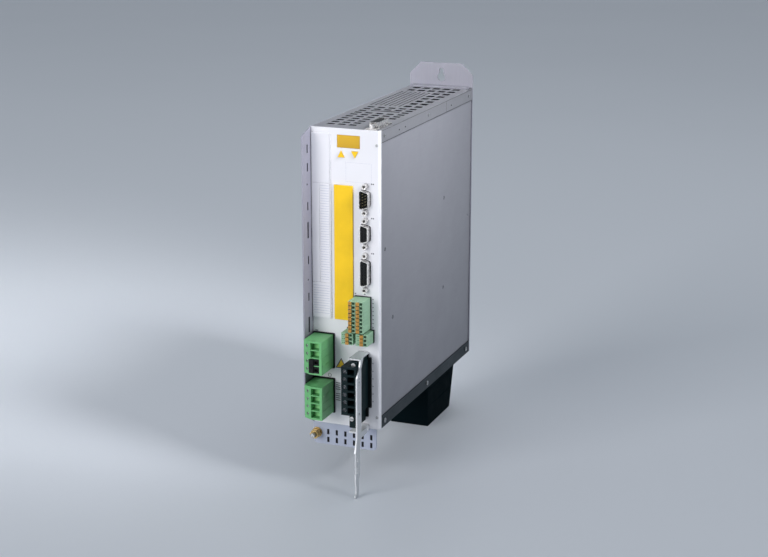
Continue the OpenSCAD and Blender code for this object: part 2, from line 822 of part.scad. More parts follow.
module motor_plug() {
  x = motor_plug_x;
  w = motor_plug_w;
  y = -motor_reach;
  color([0.06, 0.1, 0.11]) placed() difference() {
    union() {
      front_box([x, motor_z0 - motor_end, x + w, motor_z0 + 6 * power_pitch + motor_end], y, nose_deep);
      for (b = motor_ears) front_box(b, -motor_ear_reach, -header_proud - 0.2);
    }
    pin_slot(x + w / 2, motor_z0, power_pitch, 6);
    for (i = [0:5]) let (z = motor_z0 + (i + 0.5) * power_pitch) {
      y_hole(motor_screw_r + 0.25, motor_screw_x, z, y - 1, y + 3);
      front_box([motor_window_x, z - motor_window_h / 2,
                 motor_window_x + motor_window_w, z + motor_window_h / 2], y - 1, y + motor_window_deep);
    }
    for (i = [1:5])
      block([x - 1, y - 1, motor_z0 + i * power_pitch - 0.15],
            [x + w + 1, y + 0.4, motor_z0 + i * power_pitch + 0.15]);
    for (p = motor_ear_screws) {
      y_rod(1.7, p[0], p[1], -motor_ear_reach - 1, 0);
      y_rod(2.4, p[0], p[1], -motor_ear_reach - 1, -motor_ear_reach + 1.2);
    }
  }
}

module motor_clamps() {
  r = motor_screw_r;
  color("silver") placed()
    for (i = [0:5]) translate([motor_screw_x, -motor_reach, motor_z0 + (i + 0.5) * power_pitch]) difference() {
      y_rod(r, 0, 0, 0.5, 3);
      rotate([0, 30 + 25 * i, 0]) block([-r - 1, 0, -0.3], [r + 1, 1.2, 0.3]);
    }
}

module motor_flange_screws() {
  color("silver") placed()
    for (p = motor_ear_screws) translate([p[0], -motor_ear_reach, p[1]]) difference() {
      union() {
        y_rod(2.2, 0, 0, -0.8, 1.2);
        y_rod(1.5, 0, 0, 1, motor_ear_reach - 0.6);
      }
      block([-3, -2, -0.35], [3, 0.2, 0.35]);
    }
}

// ---- shield parts and ground stud ----

// Side strip beside the motor plug, with a tab above and a tab below the plug
module shield_bracket() {
  f = -strip_front;
  k = -strip_back;
  t = -tip_reach;
  low = -foot_h;
  x1 = strip_x + strip_t;
  top = tab_z + strip_t;
  front_edge = [
    [-tab_reach, top], [-tab_reach, tab_z - 1.5], [f + 6.5, tab_z - 7.5], [f + 2, tab_z - 12],
    [f, tab_z - 15.6], [f, 2], [t + 0.6, -12.5], [t + 1.8, -13.5], [t + 2.6, -33], [t + 1.4, -34],
    [t + 1.4, low + 13], [t + 2.6, low + 12], [t + 2.6, low + 4], [t, low + 2.2]];
  back_edge = [
    [t, low], [t + 8, low], [t + 9, low + 3], [t + 9, -42], [k - 4.2, -36],
    [k - 4.2, -9], [k, 1], [k, tab_z - 8], [k + 5.5, top]];
  color("silver") placed() {
    difference() {
      side_extrude(strip_x, x1) polygon(concat(front_edge, back_edge));
      for (z = [52.5, 55.8, 59]) x_rod(0.9, (f + k) / 2, z, strip_x - 1, x1 + 1);
      x_rod(1.2, (f + k) / 2, 24.3, strip_x - 1, x1 + 1);
      for (z = [-20, -31]) block([strip_x - 1, f - 0.2, z - 3], [x1 + 1, f + 2.2, z + 3]);
    }
    block([tab_x, -tab_reach, tab_z], [strip_x + 0.1, -0.1, top]);
    block([tab_low_x, -tab_reach, tab_low_z], [strip_x + 0.1, -0.1, tab_low_z + strip_t]);
    block([tab_low_x, -strip_t, tab_low_z - 4.6], [strip_x, -0.1, tab_low_z + 0.1]);
    block([strip_x, k - 2, tab_low_z - 4], [x1, 16 - tab_reach, tab_low_z + strip_t]);
  }
}

// Slotted rail under the front for shield clamps and the ground stud
module shield_rail() {
  r = 4;
  h = -rail_h;
  x0 = 0.4;
  outline = concat([[x0, -0.1]], arc([x0 + r, h + r], r, 180, 270, 6),
                   arc([rail_x - r, h + r], r, 270, 360, 6), [[rail_x, -0.1]]);
  color("silver") placed() difference() {
    union() {
      front_extrude(0, 1.5) polygon(outline);
      block([x0 + 3, 1.4, -1.6], [rail_x - 3, 16, -0.1]);
    }
    for (i = [0:5])
      for (z = [-17.2, -9.2]) let (x = rail_slot_x + rail_slot_pitch * i)
        front_box([x - rail_slot_w / 2, z - rail_slot_h / 2, x + rail_slot_w / 2, z + rail_slot_h / 2], -1, 3);
    y_rod(stud_neck_r + 0.1, stud_x, stud_z, -1, 3);
    for (x = rail_screw_xs) z_rod(1.6, x, rail_screw_y, -3, 1);
  }
}

// Stud with a full-size end and a thinner neck under its nuts
module ground_stud() {
  tip = 0.6;
  color("goldenrod") placed() {
    translate([stud_x, -stud_front, stud_z]) rotate([90, 0, 0])
      cylinder(r1 = stud_r, r2 = stud_r - tip, h = tip);
    y_rod(stud_r, stud_x, stud_z, -stud_front, stud_end - stud_front);
    y_rod(stud_neck_r, stud_x, stud_z, stud_end - stud_front - 0.1, 1.6);
    y_rod(2 * stud_neck_r, stud_x, stud_z, 1.55, 4.2);
  }
}

// Washers and two hexagon nuts on the ground stud
module ground_nuts() {
  color("gold") placed() translate([stud_x, 0, stud_z]) difference() {
    union() {
      y_rod(5, 0, 0, -1.1, -0.1);
      translate([0, -1.2, 0]) rotate([90, 15, 0]) cylinder(d = nut_d, h = nut_t, $fn = 6);
      y_rod(nut_d / 2, 0, 0, -5.3, -4.5);
      translate([0, -5.4, 0]) rotate([90, 0, 0]) cylinder(d = nut_d, h = nut_t, $fn = 6);
    }
    y_rod(stud_neck_r + 0.05, 0, 0, -20, 5);
  }
}

module case_screws() {
  color("silver") placed() {
    for (p = panel_screws) y_screw(p[0], p[1], -0.02, 1.4, 0.5, 1.2, 4);
    for (s = [[case_screw_in, 2.3, 0.9], [case_h - case_screw_in, 1.5, 0.4]])
      for (y = screw_ys) {
        translate([case_w, y, s[0]]) rotate([0, 0, 90]) y_screw(0, 0, 0, s[1], s[2], 1.2, 3);
        translate([0, y, s[0]]) rotate([0, 0, -90]) y_screw(0, 0, 0, s[1], s[2], 1.2, 3);
      }
    for (x = rail_screw_xs)
      translate([x, rail_screw_y, -1.62]) rotate([90, 0, 0]) y_screw(0, 0, 0, 2.3, 0.9, 1.2, 4);
  }
}

module support_foot() {
  x0 = case_w / 2 - 21;
  x1 = case_w / 2 + 21;
  y0 = 172;
  color([0.03, 0.05, 0.06]) placed() difference() {
    side_extrude(x0, x1) polygon([[y0, -foot_h], [y0 + 68, -foot_h], [y0 + 85.5, -0.1], [y0, -0.1]]);
    for (z = [-18, -36])
      for (x = [x0, x1]) block([x - 0.4, y0 + 5, z - 0.5], [x + 0.4, y0 + 65, z + 0.5]);
  }
}

// ---- inside ----

module heat_sink() {
  color("silver") placed() difference() {
    block([2, 122, 30], [22, 250, 246]);
    for (i = [0:12]) block([1, 126 + 9.6 * i, 29], [17.5, 132 + 9.6 * i, 247]);
  }
}

module power_module() {
  color("dimgray") placed() difference() {
    block([22.1, 150, 100], [29.9, 212, 190]);
    for (z = [106, 184]) x_rod(2.4, 181, z, 21, 31);
  }
}

module power_board() {
  color("darkgreen") placed() difference() {
    block([30, 16, 8], [30 + board_t, 250, 246]);
    for (y = [22, 244])
      for (z = [14, 240]) x_rod(1.6, y, z, 29, 33);
  }
}

module control_board() {
  color("green") placed() difference() {
    block([64.6, 16, 90], [64.6 + board_t, 190, 246]);
    for (y = [22, 184])
      for (z = [96, 240]) x_rod(1.6, y, z, 63, 68);
  }
}

module bus_capacitors() {
  color("midnightblue") placed()
    for (y = [92, 128])
      for (z = [46, 84]) {
        x_rod(15, y, z, 31.7, 60);
        x_rod(13.6, y, z, 60, 61);
      }
}

module line_choke() {
  color("peru") placed() translate([14, 74, 168]) rotate([0, 90, 0])
    rotate_extrude($fn = 64) translate([17, 0]) circle(r = 8.5, $fn = 32);
}

// Square axial fan under the fine perforation, blowing upwards
module fan_frame() {
  a = fan_a / 2;
  color([0.08, 0.08, 0.09]) placed() translate([fan_x, fan_y, fan_z]) difference() {
    union() {
      difference() {
        block([-a, -a, 0], [a, a, fan_t]);
        z_rod(fan_bore_r, 0, 0, -1, fan_t + 1);
      }
      z_rod(10, 0, 0, 0, 2.2);
      for (q = [45:90:315]) rotate([0, 0, q]) block([9, -1.2, 0], [fan_bore_r + 1, 1.2, 2]);
      z_rod(3.2, 0, 0, 2, 8);
    }
    z_rod(fan_shaft_r + fan_shaft_fit, 0, 0, -1, 9);
    for (x = [-25, 25])
      for (y = [-25, 25]) z_rod(2.1, x, y, -1, fan_t + 1);
  }
}

module fan_rotor() {
  color([0.12, 0.12, 0.13]) placed() translate([fan_x, fan_y, fan_z]) difference() {
    union() {
      z_rod(fan_hub_r, 0, 0, 3, fan_t - 2);
      intersection() {
        difference() {
          z_rod(fan_blade_r, 0, 0, 3.5, fan_t - 3);
          z_rod(fan_hub_r - 1, 0, 0, 0, fan_t);
        }
        for (q = [0:360 / 7:359]) rotate([0, 0, q]) translate([0, 0, fan_t / 2]) rotate([35, 0, 0])
          block([fan_hub_r - 2, -0.7, -18], [fan_blade_r + 3, 0.7, 18]);
      }
    }
    z_rod(4.4, 0, 0, 2, 9);
  }
  color("silver") placed() z_rod(fan_shaft_r, fan_x, fan_y, fan_z + 0.5, fan_z + 9.5);
}

// ---- one line for each sub-part ----

front_panel();
left_side();
right_cover();
top_cover();
bottom_plate();
back_plate();
slot_cover();
option_cover();
display_window();
display_module();
display_board();
button_up();
button_down();
tact_switches();
port_a_shell();
port_a_insert();
port_b_shell();
port_b_insert();
port_c_shell();
port_c_insert();
top_port_shell();
top_port_insert();
port_pins();
jack_posts();
signal_header();
signal_plug_left();
signal_plug_right();
signal_levers_left();
signal_levers_right();
relay_header();
relay_plug_left();
relay_plug_right();
relay_levers_left();
relay_levers_right();
supply_header();
supply_plug();
supply_clamps();
supply_bridge();
link_header();
link_plug();
link_clamps();
motor_header();
motor_plug();
motor_clamps();
motor_flange_screws();
header_pins();
shield_bracket();
shield_rail();
ground_stud();
ground_nuts();
case_screws();
support_foot();
heat_sink();
power_module();
power_board();
control_board();
bus_capacitors();
line_choke();
fan_frame();
fan_rotor();
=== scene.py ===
import json
import math

import bmesh
import bpy
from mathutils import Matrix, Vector


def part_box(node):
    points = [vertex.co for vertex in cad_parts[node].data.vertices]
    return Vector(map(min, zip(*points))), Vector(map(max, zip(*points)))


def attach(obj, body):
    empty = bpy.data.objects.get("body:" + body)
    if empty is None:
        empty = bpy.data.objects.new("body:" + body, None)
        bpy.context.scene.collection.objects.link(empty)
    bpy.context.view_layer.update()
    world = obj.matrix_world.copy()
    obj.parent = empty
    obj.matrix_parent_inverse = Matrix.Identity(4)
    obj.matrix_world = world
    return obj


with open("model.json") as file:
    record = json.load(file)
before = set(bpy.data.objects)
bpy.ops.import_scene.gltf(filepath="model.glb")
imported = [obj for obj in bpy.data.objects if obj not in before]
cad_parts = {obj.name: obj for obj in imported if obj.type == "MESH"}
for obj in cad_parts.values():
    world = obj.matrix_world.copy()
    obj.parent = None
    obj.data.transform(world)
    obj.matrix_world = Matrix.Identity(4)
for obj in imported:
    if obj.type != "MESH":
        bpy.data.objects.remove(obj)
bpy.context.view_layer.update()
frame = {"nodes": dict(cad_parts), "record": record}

MM = 0.001
NODES = frame["nodes"]

# ---------------------------------------------------------------- places

CORNER = Vector((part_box("left_side")[0].x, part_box("front_panel")[0].y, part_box("front_panel")[0].z))
FLOOR_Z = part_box("support_foot")[0].z


def at(x, y, z):
    """A point in mm from the case's left edge, front plane and underside, in the frame's metres."""
    return CORNER + Vector((x, y, z)) * MM


def local(node):
    """A node's corners in mm from the case's left edge, front plane and underside."""
    lo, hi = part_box(node)
    return (lo - CORNER) / MM, (hi - CORNER) / MM


# ---------------------------------------------------------------- materials

EDGE_REACH = 0.0004             # m, how wide the lightened edge of wear and painted glint is
GAP_SHADE_REACH = 0.004            # m, how near a wall must stand for painted shade to fall in a gap
SAMPLES = 4
SAME_WAY, TURNED = 0.995, 0.86  # how well the face agrees with its softened normal, flat and at an edge
SIDEWAYS, SQUARE = 0.4, 0.7     # how far a face turns to its sheet's direction, slot wall and sheet
# painted shade: the near-black colour mixed into gaps, slots and holes
GAP_SHADE_COLOUR = (0.004, 0.005, 0.006)
# painted shade: the near-black colour of slot walls in shade
SLOT_WALL_SHADE = (0.006, 0.006, 0.008)
FINE, COARSE = 0.0001, 0.0002   # m, depths of surface grain
MOST_NOISE = (0.3, 0.7)         # the span that most values of a noise texture fall in


class Look:
    """A procedural material around one Principled shader, textured in the frame's own metres."""

    def __init__(self, name, rough=0.5, metal=0.0, **sockets):
        self.mat = bpy.data.materials.new(name)
        self.mat.use_nodes = True
        self.tree = self.mat.node_tree
        self.shader = self.tree.nodes["Principled BSDF"]
        self.shader.inputs["Roughness"].default_value = rough
        self.shader.inputs["Metallic"].default_value = metal
        for key, value in sockets.items():
            self.shader.inputs[key.replace("_", " ")].default_value = value
        self.place = self.node("ShaderNodeTexCoord").outputs["Object"]
        self.height = None

    def node(self, kind, **props):
        made = self.tree.nodes.new(kind)
        for key, value in props.items():
            setattr(made, key, value)
        return made

    def link(self, a, b):
        self.tree.links.new(a, b)

    def stretched(self, stretch, turn=(0, 0, 0)):
        mapping = self.node("ShaderNodeMapping")
        mapping.inputs["Scale"].default_value = stretch
        mapping.inputs["Rotation"].default_value = turn
        self.link(self.place, mapping.inputs["Vector"])
        return mapping.outputs["Vector"]

    def noise(self, scale, detail=3.0, rough=0.5, stretch=None):
        tex = self.node("ShaderNodeTexNoise")
        tex.inputs["Scale"].default_value = scale
        tex.inputs["Detail"].default_value = detail
        tex.inputs["Roughness"].default_value = rough
        self.link(self.stretched(stretch) if stretch else self.place, tex.inputs["Vector"])
        return tex.outputs["Fac"]

    def cells(self, scale):
        tex = self.node("ShaderNodeTexVoronoi")
        tex.inputs["Scale"].default_value = scale
        self.link(self.place, tex.inputs["Vector"])
        return tex.outputs["Distance"]

    def drift(self, scale, detail, low, high):
        """A roughness that wanders between low and high over the surface."""
        return self.spread(self.noise(scale, detail), *MOST_NOISE, low, high)

    def spread(self, value, low, high, to_low, to_high):
        remap = self.node("ShaderNodeMapRange")
        for key, number in zip(("From Min", "From Max", "To Min", "To Max"), (low, high, to_low, to_high)):
            remap.inputs[key].default_value = number
        self.link(value, remap.inputs["Value"])
        return remap.outputs["Result"]

    def ramp(self, value, *stops):
        made = self.node("ShaderNodeValToRGB")
        line = made.color_ramp.elements
        while len(line) < len(stops):
            line.new(0.5)
        for element, (position, colour) in zip(line, stops):
            element.position = position
            element.color = (*colour, 1)
        self.link(value, made.inputs["Fac"])
        return made.outputs["Color"]

    def mix(self, factor, a, b, how="MIX"):
        made = self.node("ShaderNodeMix", data_type="RGBA", blend_type=how)
        for value, socket in ((factor, made.inputs["Factor"]), (a, made.inputs[6]), (b, made.inputs[7])):
            if isinstance(value, bpy.types.NodeSocket):
                self.link(value, socket)
            else:
                socket.default_value = value if isinstance(value, float) else (*value, 1)
        return made.outputs[2]

    def edge_wear_and_glint(self, colour, bright, amount=0.5):
        """Lightens exposed edges, as handling does; with a very bright edge colour it paints glints
        instead.
        """
        softened = self.node("ShaderNodeBevel", samples=SAMPLES)
        softened.inputs["Radius"].default_value = EDGE_REACH
        turned = self.node("ShaderNodeVectorMath", operation="DOT_PRODUCT")
        self.link(softened.outputs["Normal"], turned.inputs[0])
        self.link(self.node("ShaderNodeNewGeometry").outputs["Normal"], turned.inputs[1])
        edge = self.spread(turned.outputs["Value"], SAME_WAY, TURNED, 0.0, amount)
        return self.mix(edge, colour, bright)

    def painted_gap_shade(self, colour, depth=0.7, reach=GAP_SHADE_REACH, low=0.25, high=0.85):
        """Paints shade into narrow gaps, slots and holes, darkest where walls close in and keep the light
        out.
        """
        shelter = self.node("ShaderNodeAmbientOcclusion", samples=SAMPLES)
        shelter.inputs["Distance"].default_value = reach
        # the nearer the walls, the more painted shade
        shade_in = self.spread(shelter.outputs["AO"], low, high, depth, 0.0)
        return self.mix(shade_in, colour, GAP_SHADE_COLOUR)

    def inside(self, low, high):
        """1 inside the box from low to high, in the frame's metres, and 0 outside."""
        axes = self.node("ShaderNodeSeparateXYZ")
        self.link(self.place, axes.inputs["Vector"])
        mask = None
        for axis, edges in zip("XYZ", zip(low, high)):
            for how, edge in zip(("GREATER_THAN", "LESS_THAN"), edges):
                test = self.node("ShaderNodeMath", operation=how)
                self.link(axes.outputs[axis], test.inputs[0])
                test.inputs[1].default_value = edge
                mask = self.times(mask, test.outputs["Value"]) if mask else test.outputs["Value"]
        return mask

    def times(self, a, b):
        made = self.node("ShaderNodeMath", operation="MULTIPLY")
        self.link(a, made.inputs[0])
        self.link(b, made.inputs[1])
        return made.outputs["Value"]

    def painted_slot_wall_shade(self, colour, axis, low, high):
        """Paints shade on the walls of punched slots in a sheet that faces along axis."""
        facing = self.node("ShaderNodeVectorMath", operation="DOT_PRODUCT")
        self.link(self.node("ShaderNodeNewGeometry").outputs["Normal"], facing.inputs[0])
        facing.inputs[1].default_value = axis
        flat = self.node("ShaderNodeMath", operation="ABSOLUTE")
        self.link(facing.outputs["Value"], flat.inputs[0])
        wall = self.spread(flat.outputs["Value"], SIDEWAYS, SQUARE, 1.0, 0.0)
        return self.mix(self.times(wall, self.inside(low, high)), colour, SLOT_WALL_SHADE)

    def bump(self, value, strength, depth=COARSE):
        made = self.node("ShaderNodeBump")
        made.inputs["Strength"].default_value = strength
        made.inputs["Distance"].default_value = depth
        self.link(value, made.inputs["Height"])
        if self.height:
            self.link(self.height, made.inputs["Normal"])
        self.height = made.outputs["Normal"]

    def done(self, colour, rough=None):
        self.link(colour, self.shader.inputs["Base Color"])
        if rough:
            self.link(rough, self.shader.inputs["Roughness"])
        if self.height:
            self.link(self.height, self.shader.inputs["Normal"])
        return self.mat


def shade(colour, gain):
    """A colour made lighter or darker."""
    return tuple(min(1.0, c * gain) for c in colour)


def powder_coat(name, colour, grain=1500.0, rough=0.42):
    """Powder-coated sheet: orange-peel grain, slightly paler rubbed edges and painted shade in its gaps.
    """
    look = Look(name, Specular_IOR_Level=0.4)
    tone = look.ramp(look.noise(14, 2), (0.3, shade(colour, 0.965)), (0.7, shade(colour, 1.02)))
    look.bump(look.noise(grain, 2, 0.55), 0.10)
    look.bump(look.noise(grain * 0.35, 1), 0.05)
    # paler rubbed edges from wear, then painted shade in the gaps
    tone = look.painted_gap_shade(look.edge_wear_and_glint(tone, shade(colour, 1.06), 0.35), 0.85, low=0.1, high=0.7)
    return look.done(tone, look.drift(60, 2, rough - 0.05, rough + 0.06))


def zinc_sheet(name, colour, run=(1, 1, 60), rough=0.45, metal=0.3, dark=0.9, wall_shade=None):
    """Zinc-plated sheet with rolling streaks along one axis, faint spangle, handling marks, painted shade
    in its gaps and, where given, painted shade on its slot walls.
    """
    look = Look(name, metal=metal, Specular_IOR_Level=0.35)
    streak = look.noise(38, 5, 0.65, stretch=run)
    cloud = look.noise(9, 3, 0.6)
    tone = look.ramp(streak, (0.25, shade(colour, 0.94)), (0.75, shade(colour, 1.06)))
    tone = look.mix(look.spread(cloud, 0.35, 0.7, 0.0, 0.3), tone, shade(colour, 0.9))
    spangle = look.spread(look.cells(160), 0.0, 0.8, 0.0, 0.10)
    tone = look.mix(spangle, tone, shade(colour, 1.15))
    look.bump(streak, 0.035, FINE)
    look.bump(look.noise(900, 2), 0.03, FINE)
    rough_map = look.spread(look.noise(25, 4, 0.6), 0.25, 0.75, rough - 0.07, rough + 0.10)
    # paler worn edges, then painted shade in the gaps, as deep as dark says
    tone = look.painted_gap_shade(look.edge_wear_and_glint(tone, shade(colour, 1.7), 0.7), dark, low=0.1, high=0.75)
    # painted shade on the walls of the punched slots
    if wall_shade:
        tone = look.painted_slot_wall_shade(tone, *wall_shade)
    return look.done(tone, rough_map)


def moulded(name, colour, rough, grain=1700.0, bump=0.12, pale=0.3, dark=0.6, **sockets):
    """Injection-moulded plastic: fine spark-eroded grain, slightly paler rubbed edges and painted shade in
    its gaps.
    """
    look = Look(name, **sockets)
    tone = look.ramp(look.noise(45, 3), (0.3, shade(colour, 0.93)), (0.7, shade(colour, 1.05)))
    fleck = look.spread(look.noise(2600, 1), 0.45, 0.75, 0.0, 0.25)
    tone = look.mix(fleck, tone, shade(colour, 1.18))
    look.bump(look.noise(grain, 2), bump, 0.00015)
    rubbed = tuple(c * 0.75 + 0.25 * max(colour) + 0.02 for c in colour)
    # paler rubbed edges from wear, then painted shade in the gaps, as deep as dark says
    tone = look.painted_gap_shade(look.edge_wear_and_glint(tone, rubbed, pale), dark, low=0.1, high=0.8)
    return look.done(tone, look.drift(120, 3, rough - 0.06, rough + 0.08))


def plated(name, colour, rough, rim=1.5):
    """Plated metal part with light stains, turning marks, edges lightened by the rim factor and painted
    shade in its holes; a large rim factor paints bright glints on the edges.
    """
    look = Look(name, metal=0.85)
    tone = look.ramp(look.noise(300, 4, 0.6), (0.3, shade(colour, 0.78)), (0.65, colour))
    tone = look.mix(look.spread(look.noise(90, 4), 0.45, 0.8, 0.0, 0.25), tone, shade(colour, 0.5))
    look.bump(look.noise(1400, 3, stretch=(1, 6, 1)), 0.08, FINE)
    # edges lightened by rim: wear when rim is small, a painted glint when it is large; then painted shade
    # in the holes
    tone = look.painted_gap_shade(look.edge_wear_and_glint(tone, shade(colour, rim), 0.7), 0.85, reach=0.002)
    return look.done(tone, look.drift(500, 2, rough - 0.05, rough + 0.12))


def printed(name, colour):
    """Screen-printed ink, slightly uneven in its cover."""
    look = Look(name, Specular_IOR_Level=0.3)
    tone = look.ramp(look.noise(700, 3), (0.35, shade(colour, 0.85)), (0.65, shade(colour, 1.1)))
    look.bump(look.noise(1500, 2), 0.05, FINE)
    return look.done(tone, look.drift(300, 2, 0.45, 0.6))


def amber_glass(name, colour):
    """Tinted display window, with painted light that makes it a little brighter towards its top."""
    look = Look(name, rough=0.12, Specular_IOR_Level=0.2)
    low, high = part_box("display_window")
    # painted light: the tint brightens from the window's bottom to its top
    rise = look.node("ShaderNodeSeparateXYZ")
    look.link(look.place, rise.inputs["Vector"])
    painted_light_gain = look.spread(rise.outputs["Z"], low.z, high.z, 0.86, 1.08)
    tone = look.ramp(look.noise(60, 2), (0.3, shade(colour, 0.95)), (0.7, colour))
    painted_light = look.node("ShaderNodeCombineColor")
    for channel in ("Red", "Green", "Blue"):
        look.link(painted_light_gain, painted_light.inputs[channel])
    tone = look.mix(1.0, tone, painted_light.outputs["Color"], "MULTIPLY")
    look.bump(look.noise(700, 2), 0.02, FINE)
    return look.done(tone, look.drift(150, 2, 0.10, 0.16))


def circuit_board(name):
    """Green solder mask over rows of tracks."""
    look = Look(name, rough=0.35, Coat_Weight=0.3)
    tracks = look.node("ShaderNodeTexBrick", offset=0.5)
    for key, value in (("Scale", 260.0), ("Mortar Size", 0.03), ("Brick Width", 0.9), ("Row Height", 0.2)):
        tracks.inputs[key].default_value = value
    look.link(look.stretched((1, 1, 1), (0, math.radians(90), 0)), tracks.inputs["Vector"])
    tracks.inputs["Color1"].default_value = (0.012, 0.11, 0.045, 1)
    tracks.inputs["Color2"].default_value = (0.016, 0.14, 0.06, 1)
    tracks.inputs["Mortar"].default_value = (0.03, 0.2, 0.1, 1)
    tone = look.mix(look.spread(look.noise(80, 3), 0.4, 0.7, 0.0, 0.3), tracks.outputs["Color"],
                    (0.01, 0.08, 0.03))
    look.bump(tracks.outputs["Fac"], 0.1, FINE)
    return look.done(tone, look.drift(200, 2, 0.28, 0.4))


def copper_winding(name):
    """Enamelled copper wire, wound side by side."""
    look = Look(name, rough=0.3, metal=0.6)
    turns = look.node("ShaderNodeTexWave", wave_type="BANDS", bands_direction="DIAGONAL")
    turns.inputs["Scale"].default_value = 160
    look.link(look.place, turns.inputs["Vector"])
    tone = look.ramp(turns.outputs["Fac"], (0.2, (0.16, 0.05, 0.015)), (0.8, (0.6, 0.24, 0.08)))
    look.bump(turns.outputs["Fac"], 0.5, 0.0004)
    return look.done(tone, look.drift(200, 2, 0.25, 0.4))


def floor_coat(name):
    """Plain pale studio floor."""
    look = Look(name, rough=0.42, Specular_IOR_Level=0.4)
    tone = look.ramp(look.noise(1.2, 2), (0.0, (0.72, 0.76, 0.81)), (1.0, (0.76, 0.80, 0.85)))
    return look.done(tone, look.spread(look.noise(3, 2), 0.0, 1.0, 0.40, 0.46))


LOOKS = {
    "panel_white": powder_coat("panel_white", (0.82, 0.82, 0.86)),
    "zinc_sheet": zinc_sheet("zinc_sheet", (0.27, 0.275, 0.305)),
    "yellow_plastic": moulded("yellow_plastic", (0.95, 0.60, 0.018), 0.45, bump=0.08,
                              Specular_IOR_Level=0.2),
    "amber_window": amber_glass("amber_window", (0.70, 0.42, 0.03)),
    "black_plastic": moulded("black_plastic", (0.006, 0.007, 0.008), 0.5, pale=0.15,
                             Specular_IOR_Level=0.2),
    "header_black": moulded("header_black", (0.004, 0.007, 0.008), 0.5, pale=0.15,
                            Specular_IOR_Level=0.15),
    "motor_black": moulded("motor_black", (0.0035, 0.0135, 0.016), 0.5, pale=0.08,
                           Specular_IOR_Level=0.15),
    "signal_green": moulded("signal_green", (0.31, 0.52, 0.345), 0.45, dark=0.3, Specular_IOR_Level=0.3),
    "power_green": moulded("power_green", (0.145, 0.46, 0.175), 0.38, dark=0.3, Specular_IOR_Level=0.5),
    "lever_orange": moulded("lever_orange", (0.62, 0.33, 0.07), 0.42, Specular_IOR_Level=0.3),
    "board_green": circuit_board("board_green"),
    "port_metal": plated("port_metal", (0.72, 0.70, 0.68), 0.22),
    "contact_metal": plated("contact_metal", (0.16, 0.14, 0.08), 0.35),
    "screw_metal": plated("screw_metal", (0.50, 0.51, 0.52), 0.3),
    "shield_steel": zinc_sheet("shield_steel", (0.64, 0.66, 0.68), rough=0.38, metal=0.5, dark=0.7),
    "stud_brass": plated("stud_brass", (0.66, 0.46, 0.18), 0.28),
    "foot_black": moulded("foot_black", (0.002, 0.006, 0.008), 0.75, pale=0.06,
                          Specular_IOR_Level=0.02),
    "sink_aluminium": zinc_sheet("sink_aluminium", (0.50, 0.51, 0.53), rough=0.35, metal=0.9),
    "capacitor_sleeve": moulded("capacitor_sleeve", (0.015, 0.02, 0.07), 0.25),
    "choke_copper": copper_winding("choke_copper"),
}
FRONT_TO_BACK = (1, 60, 1)      # streak directions, as texture stretch
SIDE_TO_SIDE = (60, 1, 1)
# Boxes that hold the slots punched in a sheet, where painted shade falls on the slot walls: the way the
# sheet faces, low corner, high corner.
VENT_CUTS = (0, 0, 1), at(2, 5, 288.8), at(68, 262, 289.97)
FLANGE_CUTS = (1, 0, 0), at(0.02, -18, 90), at(1.18, -2, 280)
RAIL_CUTS = (0, 1, 0), at(12, 0.02, -21.5), at(64, 1.48, -5)
TOP_SHEET = zinc_sheet("top_sheet", (0.23, 0.235, 0.255), run=FRONT_TO_BACK, dark=0.97, wall_shade=VENT_CUTS)
# painted shade: a near-black copy of the zinc sheet for the bottom plate, whose band lies in shade
SHADED_LOW_SHEET = zinc_sheet("shaded_low_sheet", (0.010, 0.020, 0.027), run=FRONT_TO_BACK)
BACK_SHEET = zinc_sheet("back_sheet", (0.315, 0.315, 0.365), run=SIDE_TO_SIDE)
SIDE_SHEET = zinc_sheet("side_sheet", (0.30, 0.30, 0.36), dark=0.97, wall_shade=FLANGE_CUTS)
RAIL_SHEET = zinc_sheet("rail_sheet", (0.42, 0.455, 0.56), run=SIDE_TO_SIDE, wall_shade=RAIL_CUTS)
# painted glints: near-black screw metal whose edges are made sixteen times brighter, as C-shaped glints
DARK_GLINT_SCREW = plated("dark_glint_screw", (0.045, 0.049, 0.054), 0.3, rim=16.0)
INK = printed("ink", (0.10, 0.10, 0.13))
FAINT_INK = printed("faint_ink", (0.42, 0.45, 0.60))
SIGN_YELLOW = printed("sign_yellow", (0.80, 0.52, 0.03))
# painted light: a paler copy of the plug green for the clamp blocks lit through the windows
LIT_CLAMP_GREEN = moulded("lit_clamp_green", (0.25, 0.72, 0.25), 0.45, Specular_IOR_Level=0.3)
# painted shadow: a flat near-black colour, made with the printed-ink look, for sheets and strips put where
# shade falls
SHADOW = printed("shadow", (0.012, 0.013, 0.016))
# painted shade for the rims of the press marks
PRESS_SHADE = printed("press_mark_shade", (0.07, 0.07, 0.085))


# ---------------------------------------------------------------- mesh helpers

SHARP = math.radians(35)
SAME_POINT = 0.02 * MM
FLAT_FIRST = 80     # how strongly large faces set the shading of a rounded edge
INK_T = 0.06        # mm, how far printing stands out of its sheet
SUNK = 0.02         # mm, how far printing and thin strips reach into the sheet behind them
STRIP_T = 0.05      # mm, thickness of the dark lines and rims on the right side


def own(obj, body, slot, look=None):
    """Gives a piece its finish, from its slot's look unless another look is given, and the body it moves
    with.
    """
    obj.data.materials.clear()
    obj.data.materials.append(look or LOOKS[slot])
    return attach(obj, body)


def rounded(obj, width, segments=2):
    """Breaks sharp edges the way tools and moulds leave them, with clean shading."""
    bevel = obj.modifiers.new("edge", "BEVEL")
    bevel.width = width * MM
    bevel.segments = segments
    bevel.limit_method = "ANGLE"
    bevel.angle_limit = SHARP
    bevel.use_clamp_overlap = True
    bevel.miter_outer = "MITER_ARC"
    shading = obj.modifiers.new("shade", "WEIGHTED_NORMAL")
    shading.weight = FLAT_FIRST
    shading.keep_sharp = False
    return obj


